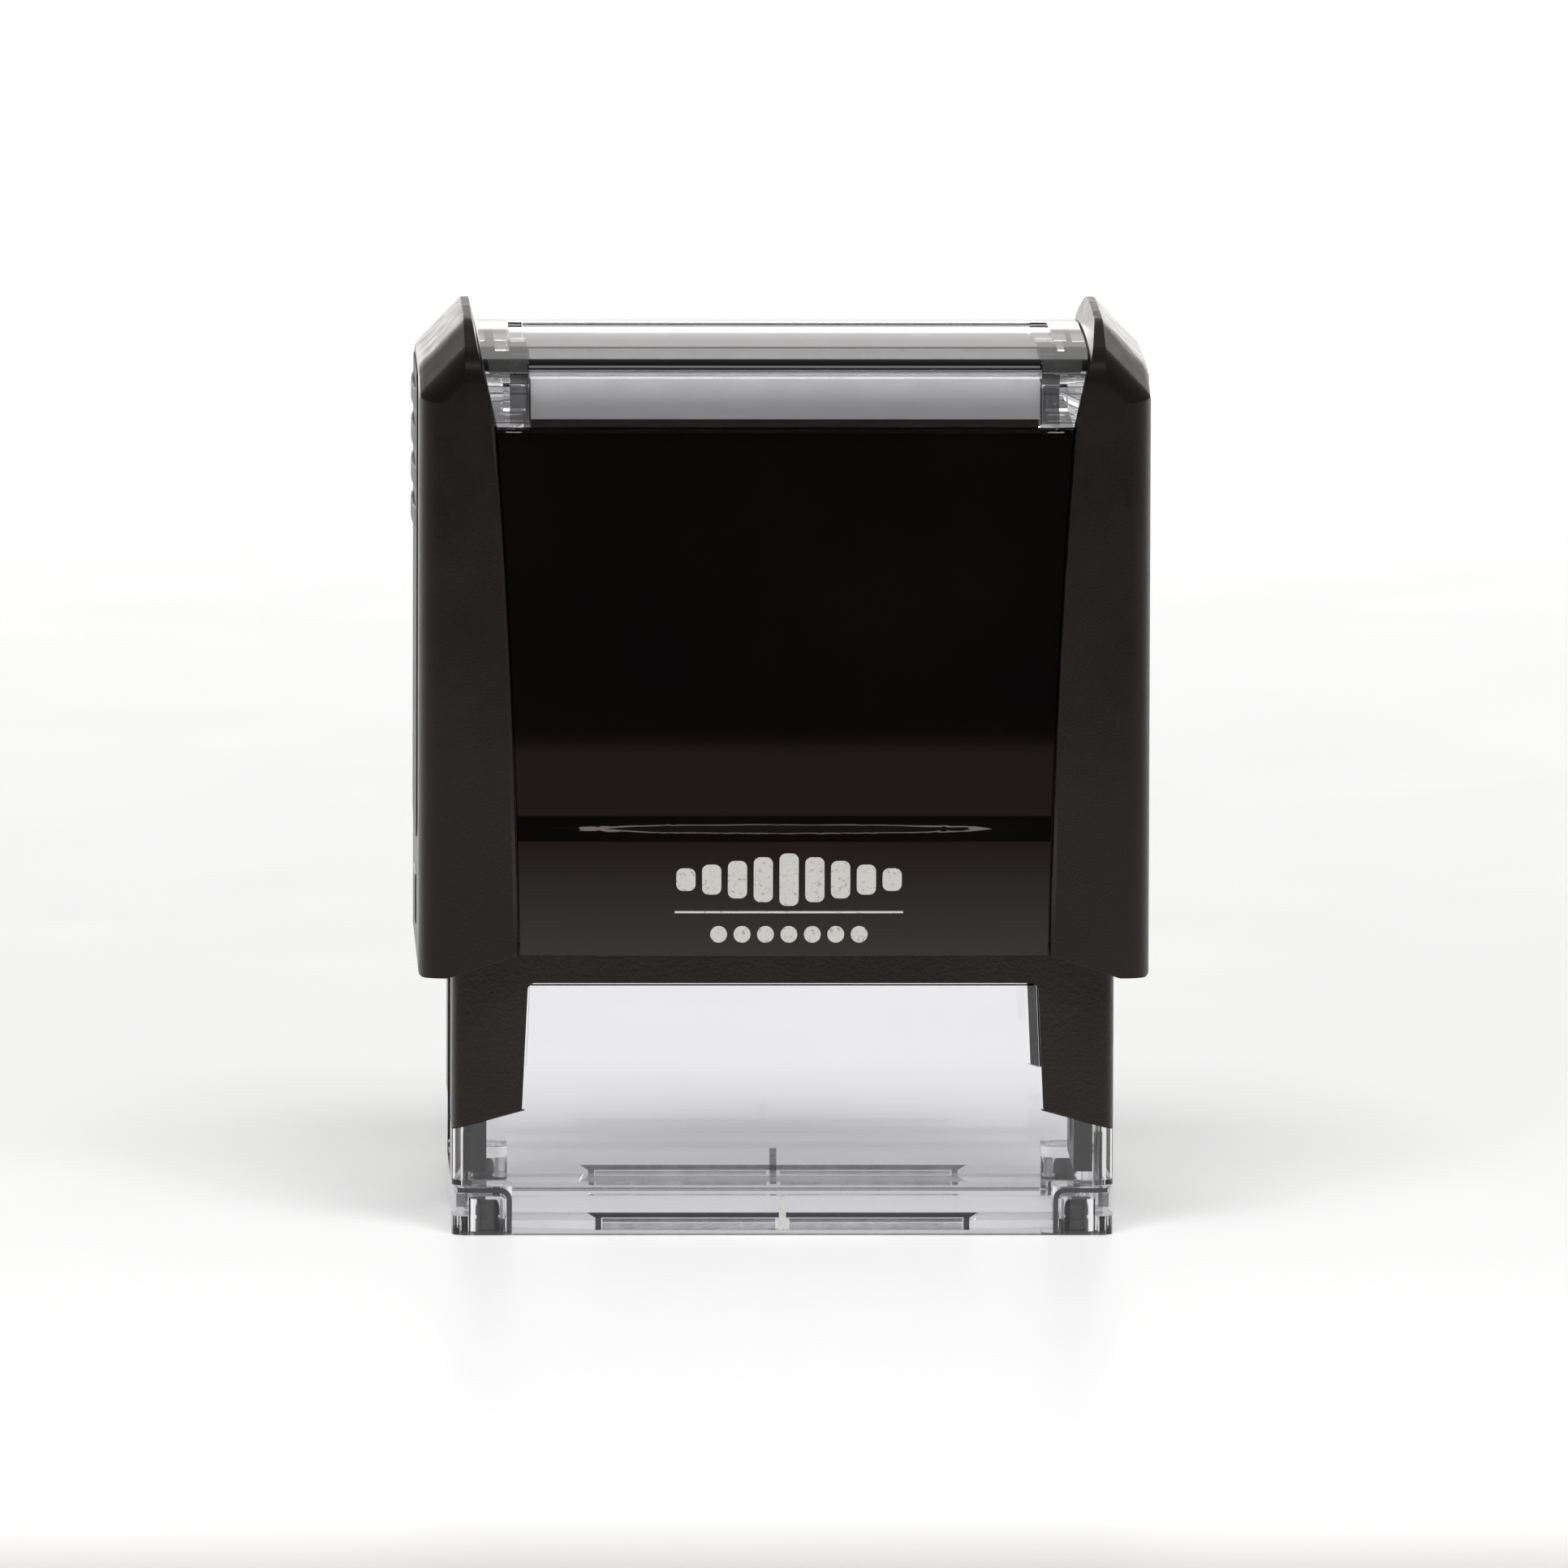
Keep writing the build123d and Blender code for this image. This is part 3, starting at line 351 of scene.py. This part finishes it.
# a row of rounded tiles that grow towards the middle, over a thin rule and a row of dots
for tile in range(-4, 5):
    tile_x = MARK_X + TILE_PITCH * tile
    half_h = TALLEST_HALF_H - HALF_H_STEP * abs(tile)
    print_shape(bm, rounded(tile_x, TILE_Z, TILE_HALF_W, half_h, TILE_CORNER))
for part in range(RULE_PARTS):
    part_x = MARK_X - RULE_LENGTH / 2 + RULE_LENGTH * (part + 0.5) / RULE_PARTS
    part_half_w = RULE_LENGTH / (2 * RULE_PARTS)
    print_shape(bm, rounded(part_x, RULE_Z, part_half_w, RULE_HALF_H, 0.01, 1))
for dot in range(-3, 4):
    dot_x = MARK_X + DOT_PITCH * dot
    print_shape(bm, rounded(dot_x, DOT_Z, DOT_R, DOT_R, 0.71, 6))
bmesh.ops.triangulate(bm, faces=bm.faces[:])
piece("printed_mark", bm, "cap", "white_print")


# ---------------------------------------------------------------- painted shade lines at the edges of the clear parts
# all sizes in mm; a bar is x0, x1, z0, z1
LINE_T = 0.03
BOSS_OUTER_R, BOSS_INNER_R = 0.95, 0.60
BOSS_STEPS = 5


def plank(bm, outline, y):
    """Thin plate from an outline of (x, z) points, in mm, with its front at y."""
    front = [bm.verts.new((x * MM, y * MM, z * MM)) for x, z in outline]
    back = [bm.verts.new((x * MM, (y + LINE_T) * MM, z * MM)) for x, z in outline]
    bm.faces.new(front)
    bm.faces.new(back[::-1])
    for i in range(len(outline)):
        j = (i + 1) % len(outline)
        bm.faces.new((front[j], front[i], back[i], back[j]))


def bar(x0, x1, z0, z1, side=1):
    """Outline of an upright rectangle; side -1 mirrors it to the left."""
    low, high = sorted((side * x0, side * x1))
    return ((low, z0), (high, z0), (high, z1), (low, z1))


def boss_rim(side):
    """L-shaped line over the top and down the inner side of a corner boss, with a round corner."""
    outer = [(27.8, 4.05), (24.1, 4.05)]
    inner = [(27.8, 3.65), (24.2, 3.65)]
    for i in range(1, BOSS_STEPS + 1):
        a = math.pi / 2 * (1 + i / BOSS_STEPS)
        outer.append((24.1 + BOSS_OUTER_R * math.cos(a), 3.1 + BOSS_OUTER_R * math.sin(a)))
        inner.append((24.2 + BOSS_INNER_R * math.cos(a), 3.05 + BOSS_INNER_R * math.sin(a)))
    outer.append((23.15, 0.1))
    inner.append((23.60, 0.1))
    return [(side * x, z) for x, z in outer + inner[::-1]]


RECESS_TOP = ((-16.05, 1.48), (16.05, 1.48), (16.75, 1.93), (-16.75, 1.93))
RECESS_SIDE = (15.5, 16.0, 0.4, 1.5)
RECESS_LINE = (0.6, 15.4, 1.08, 1.40)
RECESS_SHADE = (0.6, 15.4, 0.40, 1.00)
FOOT_LINE = (-23.1, 23.1, 0.02, 0.14)
BOSS_LINES = ((23.2, 27.7, 0.02, 0.34), (27.0, 27.9, 2.45, 3.6), (26.6, 27.35, 4.3, 8.9))
HANDS = ((-1, "left"), (1, "right"))
# painted shade in three strengths, dark, grey and pale, for the lines in the clear plastic
dark_shade_line = painted_edge_shade("dark_painted_shade_line", 0.05, 0.86)
grey_shade_line = painted_edge_shade("grey_painted_shade_line", 0.08, 0.50)
pale_shade_line = painted_edge_shade("pale_painted_shade_line", 0.12, 0.26)

# the rear pane gets paler painted shade lines than the front one
for end, recess_y, boss_y, foot_y, strong, weak in (
    ("front", -16.63, -16.9, -16.95, dark_shade_line, grey_shade_line),
    ("rear", 16.60, 16.87, 16.92, grey_shade_line, pale_shade_line),
):
    bm = bmesh.new()
    plank(bm, RECESS_TOP, recess_y)
    for side, _ in HANDS:
        plank(bm, bar(*RECESS_SIDE, side), recess_y)
    piece(f"recess_edge_{end}", bm, "base", "clear_plastic", strong)
    bm = bmesh.new()
    for side, _ in HANDS:
        plank(bm, bar(*RECESS_LINE, side), recess_y)
    piece(f"recess_line_{end}", bm, "base", "clear_plastic", weak)
    # a pale sheet of painted shade across each side of the recess
    bm = bmesh.new()
    for side, _ in HANDS:
        plank(bm, bar(*RECESS_SHADE, side), recess_y)
    piece(f"recess_shade_{end}", bm, "base", "clear_plastic", pale_shade_line)
    for side, hand in HANDS:
        bm = bmesh.new()
        plank(bm, boss_rim(side), boss_y)
        piece(f"boss_edge_{end}_{hand}", bm, "base", "clear_plastic", strong)
    bm = bmesh.new()
    plank(bm, bar(*FOOT_LINE), foot_y)
    for side, _ in HANDS:
        for line in BOSS_LINES:
            plank(bm, bar(*line, side), foot_y)
    piece(f"lower_edge_{end}", bm, "base", "clear_plastic", grey_shade_line)

# pockets over the corner blocks of the window, and the outlines of the blocks, as dark plates of
# painted shade, and a pale plate of painted shade over each block
POCKET = ((21.95, 73.7), (25.2, 73.7), (25.45, 74.9), (22.2, 74.9), (21.95, 74.6))
BLOCK_LINES = (
    (21.95, 25.4, 73.1, 73.2),
    (21.95, 25.3, 72.5, 72.58),
    (21.9, 22.0, 70.2, 73.2),
    (21.95, 25.0, 70.0, 70.12),
)
BLOCK_SHADE = (22.0, 25.2, 70.15, 73.1)
POCKET_Y, BLOCK_LINES_Y, BLOCK_SHADE_Y = 17.2, 19.3, 19.2
for end, facing in (("front", -1), ("rear", 1)):
    for side, hand in HANDS:
        bm = bmesh.new()
        plank(bm, [(side * x, z) for x, z in POCKET], facing * POCKET_Y)
        bmesh.ops.recalc_face_normals(bm, faces=bm.faces[:])
        piece(f"pocket_{end}_{hand}", bm, "window", "clear_plastic", dark_shade_line)
        bm = bmesh.new()
        for line in BLOCK_LINES:
            plank(bm, bar(*line, side), facing * BLOCK_LINES_Y)
        piece(f"block_lines_{end}_{hand}", bm, "window", "clear_plastic", grey_shade_line)
        # a pale sheet of painted shade over the corner block
        bm = bmesh.new()
        plank(bm, bar(*BLOCK_SHADE, side), facing * BLOCK_SHADE_Y)
        piece(f"block_shade_{end}_{hand}", bm, "window", "clear_plastic", pale_shade_line)


# ---------------------------------------------------------------- return spring
SPRING_WIRE_R = 0.30 * MM
SPRING_SLACK = 0.03 * MM  # inside the outline of the CAD spring
SPRING_GAP = 0.02 * MM  # to the deck below and the bow above
SPRING_TURNS = 6
STEPS_PER_TURN = 32
WIRE_SIDES = 10
UPWARD = Vector((0.0, 0.0, 1.0))
spring_low, spring_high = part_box("return_spring")
coil_r = (spring_high[0] - spring_low[0]) / 2 - SPRING_WIRE_R - SPRING_SLACK
coil_x = (spring_high[0] + spring_low[0]) / 2
coil_y = (spring_high[1] + spring_low[1]) / 2
coil_low = spring_low[2] + SPRING_WIRE_R + SPRING_GAP
coil_high = spring_high[2] - SPRING_WIRE_R - SPRING_GAP
bm = bmesh.new()
rings = []
coil_steps = SPRING_TURNS * STEPS_PER_TURN
for i in range(coil_steps + 1):
    turn = 2 * math.pi * i / STEPS_PER_TURN
    out = Vector((math.cos(turn), math.sin(turn), 0.0))
    height = coil_low + (coil_high - coil_low) * i / coil_steps
    centre = Vector((coil_x, coil_y, height)) + coil_r * out
    ring = []
    for k in range(WIRE_SIDES):
        a = 2 * math.pi * k / WIRE_SIDES
        offset = SPRING_WIRE_R * (math.cos(a) * out + math.sin(a) * UPWARD)
        ring.append(bm.verts.new(centre + offset))
    rings.append(ring)
for first, second in zip(rings, rings[1:]):
    for k in range(WIRE_SIDES):
        j = (k + 1) % WIRE_SIDES
        bm.faces.new((first[k], first[j], second[j], second[k]))
bm.faces.new(rings[0][::-1])
bm.faces.new(rings[-1])
bmesh.ops.recalc_face_normals(bm, faces=bm.faces[:])
for face in bm.faces:
    face.smooth = len(face.verts) == 4
# a wire coil takes the place of the CAD spring, which is hidden
spring = mesh_object("spring_coil", bm, SLOTS["spring_steel"])
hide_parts("return_spring")
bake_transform(spring)


# ---------------------------------------------------------------- studio
FLOOR_Z = -0.03 * MM
FLOOR_ROWS = (-0.40, -0.30, -0.2, 0.0, 0.5, 2.0, 5.0)
FLOOR_COLUMNS = (-3.0, -0.5, 0.5, 3.0)
FOREGROUND = (-0.27, -0.19)  # y over which the painted shade of the dark foreground turns into the pale table
SHADE_REACH = (0.025, 0.031)  # edge of the painted light that lifts the machine's own shade, from the middle
SHADE_STRETCH = (1.0, 1.6, 1.0)
TABLE_RAMP = (0.10, 0.85)  # y over which the table's painted glow brightens away from the camera
# painted shade: the foreground of the table is coloured dark
FOREGROUND_COLOUR, TABLE_COLOUR = (0.20, 0.17, 0.16), (0.93, 0.93, 0.93)
FOREGROUND_GLOW, SHADE_GLOW = (0.12, 0.10, 0.09), (0.44, 0.44, 0.45)
NEAR_GLOW, FAR_GLOW = (0.26, 0.26, 0.26), (0.80, 0.80, 0.80)
bm = bmesh.new()
grid = [[bm.verts.new((x, y, FLOOR_Z)) for x in FLOOR_COLUMNS] for y in FLOOR_ROWS]
for near, far in zip(grid, grid[1:]):
    for i in range(len(FLOOR_COLUMNS) - 1):
        bm.faces.new((near[i], near[i + 1], far[i + 1], far[i]))
s = Shader("floor")
spot = s.node("ShaderNodeSeparateXYZ", Vector=s.coords)
fade = s.span(spot.outputs["Y"], 0.0, 1.0, *FOREGROUND)
s.link(s.blend(fade, FOREGROUND_COLOUR, TABLE_COLOUR), "Base Color")
# painted light: a soft glow of the table, brighter away from the camera, and a brighter oval under
# the machine that lifts its own shade
reach = s.tree.nodes.new("ShaderNodeVectorMath")
reach.operation = "LENGTH"
s.tree.links.new(s.stretch(SHADE_STRETCH), reach.inputs[0])
under = s.span(reach.outputs["Value"], 1.0, 0.0, *SHADE_REACH)
distance = s.span(spot.outputs["Y"], 0.0, 1.0, *TABLE_RAMP)
table = s.blend(distance, NEAR_GLOW, FAR_GLOW)
lit = s.blend(fade, FOREGROUND_GLOW, table)
s.link(s.blend(under, lit, SHADE_GLOW), "Emission Color")
s.set(Emission_Strength=1.0)
s.link(s.span(s.noise(40, 2.0), 0.40, 0.46), "Roughness")
s.set(Specular_IOR_Level=0.35)
floor = mesh_object("floor", bm, s)

# radiance of the surroundings, and where each part fades, as parts of a unit direction
ROOM_LIGHT = 0.038
HORIZON_LIGHT = 7.0
WALL_LIGHT = 0.6
OVERHEAD_LIGHT = 0.12
HORIZON_FADE = (0.04, 0.09)
WALL_FADE = (0.12, 0.32)
FLOOR_FADE = (-0.01, 0.005)
BEHIND_FADE = (-0.25, 0.45)
FRONT_FADE = (-0.2, 0.9)
world = bpy.data.worlds.new("studio")
bpy.context.scene.world = world
world.use_nodes = True
tree = world.node_tree
tree.nodes.clear()


def math_node(operation, *values):
    """A math node in the world's tree; values are numbers or sockets."""
    made = tree.nodes.new("ShaderNodeMath")
    made.operation = operation
    for socket, value in zip(made.inputs, values):
        if isinstance(value, bpy.types.NodeSocket):
            tree.links.new(value, socket)
        else:
            socket.default_value = value
    return made.outputs[0]


def step(value, low, high):
    """0 below low, 1 above high, smooth between."""
    made = tree.nodes.new("ShaderNodeMapRange")
    made.interpolation_type = "SMOOTHSTEP"
    tree.links.new(value, made.inputs["Value"])
    made.inputs["From Min"].default_value = low
    made.inputs["From Max"].default_value = high
    return made.outputs["Result"]


split = tree.nodes.new("ShaderNodeSeparateXYZ")
tree.links.new(tree.nodes.new("ShaderNodeTexCoord").outputs["Generated"], split.inputs[0])
above = step(split.outputs["Z"], *FLOOR_FADE)
behind = step(split.outputs["Y"], *BEHIND_FADE)
low_sky = math_node("SUBTRACT", 1.0, step(split.outputs["Z"], *WALL_FADE))
wall = math_node("MULTIPLY", behind, low_sky)
skyline = math_node("SUBTRACT", 1.0, step(split.outputs["Z"], *HORIZON_FADE))
horizon = math_node("MULTIPLY", behind, skyline)
# a soft overhead, a brighter wall behind that is brightest at its foot, and a dim room all round
level = math_node("MULTIPLY_ADD", wall, WALL_LIGHT - OVERHEAD_LIGHT, OVERHEAD_LIGHT)
level = math_node("MULTIPLY_ADD", horizon, HORIZON_LIGHT - WALL_LIGHT, level)
back_and_up = math_node("ADD", split.outputs["Z"], split.outputs["Y"])
directed = math_node("MULTIPLY", level, step(back_and_up, *FRONT_FADE))
radiance = math_node("ADD", math_node("MULTIPLY", directed, above), ROOM_LIGHT)
sky = tree.nodes.new("ShaderNodeBackground")
sky.inputs["Color"].default_value = (1.0, 0.985, 0.975, 1)
tree.links.new(radiance, sky.inputs["Strength"])
# the camera itself sees a white backdrop
white = tree.nodes.new("ShaderNodeBackground")
white.inputs["Color"].default_value = (1, 1, 1, 1)
pick = tree.nodes.new("ShaderNodeMixShader")
tree.links.new(tree.nodes.new("ShaderNodeLightPath").outputs["Is Camera Ray"], pick.inputs[0])
tree.links.new(sky.outputs[0], pick.inputs[1])
tree.links.new(white.outputs[0], pick.inputs[2])
tree.links.new(pick.outputs[0], tree.nodes.new("ShaderNodeOutputWorld").inputs["Surface"])

LAMP_PLACE = Vector((0.0, -0.6, 0.85))


def softbox(name, aim, size, power, shows_in_gloss):
    """Rectangular lamp over the camera, size in metres and power in watts."""
    lamp = bpy.data.lights.new(name, "AREA")
    lamp.shape = "RECTANGLE"
    lamp.size, lamp.size_y = size
    lamp.energy = power
    made = bpy.data.objects.new(name, lamp)
    bpy.context.scene.collection.objects.link(made)
    made.location = LAMP_PLACE
    made.rotation_euler = (Vector(aim) - LAMP_PLACE).to_track_quat("-Z", "Y").to_euler()
    made.visible_glossy = shows_in_gloss


softbox("top_fill", (0, 0, 0.05), (0.8, 0.4), 9.0, False)
softbox("strip_light", (0, 0, 0.03), (0.45, 0.10), 0.5, True)

# ---------------------------------------------------------------- camera
CAMERA_AT = Vector((-0.06426, -2.51375, 0.31965))
CAMERA_AIM = Vector((0.00002, -0.017, 0.03883))
CAMERA_ROLL = 0.002975
SENSOR_MM = 36.0
LENS_MM = 675.9
camera = bpy.data.objects.new("camera", bpy.data.cameras.new("camera"))
bpy.context.scene.collection.objects.link(camera)
camera.data.sensor_width = SENSOR_MM
camera.data.lens = LENS_MM
camera.data.clip_start = 0.1
camera.data.clip_end = 30.0
forward = (CAMERA_AIM - CAMERA_AT).normalized()
right = forward.cross(Vector((0, 0, 1))).normalized()
up = right.cross(forward)
turned_right = math.cos(CAMERA_ROLL) * right + math.sin(CAMERA_ROLL) * up
turned_up = math.cos(CAMERA_ROLL) * up - math.sin(CAMERA_ROLL) * right
axes = Matrix((turned_right, turned_up, -forward)).transposed().to_4x4()
camera.matrix_world = Matrix.Translation(CAMERA_AT) @ axes
bpy.context.scene.camera = camera
bpy.context.scene.view_settings.view_transform = "Standard"
